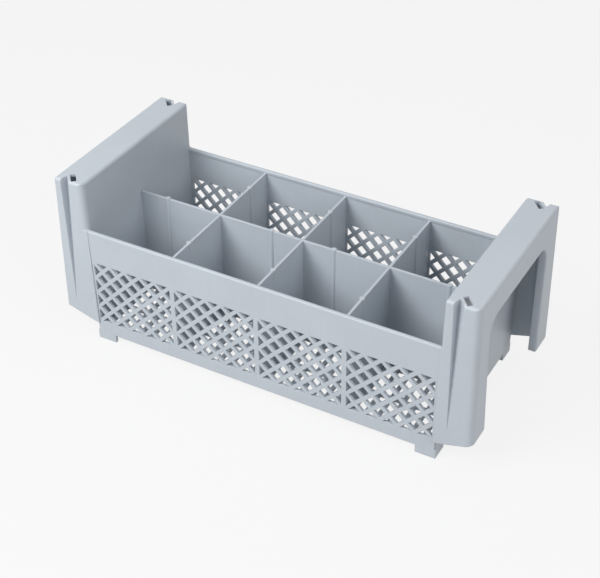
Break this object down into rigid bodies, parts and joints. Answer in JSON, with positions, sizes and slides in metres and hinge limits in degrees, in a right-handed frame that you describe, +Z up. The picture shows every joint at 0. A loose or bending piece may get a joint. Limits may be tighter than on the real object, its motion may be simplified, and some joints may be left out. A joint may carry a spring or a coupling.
{
  "type": "cutlery holder",
  "caption": "Long open basket with diamond lattice side windows, a grid of upright compartments, and a raised hollow hood with an arched hand hold at each end.",
  "frame": {"origin": "middle of the footprint, on the plane of the feet", "axes": "+X along the length from hood to hood, +Y across, away from the pictured front wall, +Z up"},
  "size_m": [0.43, 0.1774, 0.176],
  "materials": {
    "moulding": "satin, light bluish grey"
  },
  "bodies": {
    "root": {"basket": "moulding"}
  },
  "joints": []
}
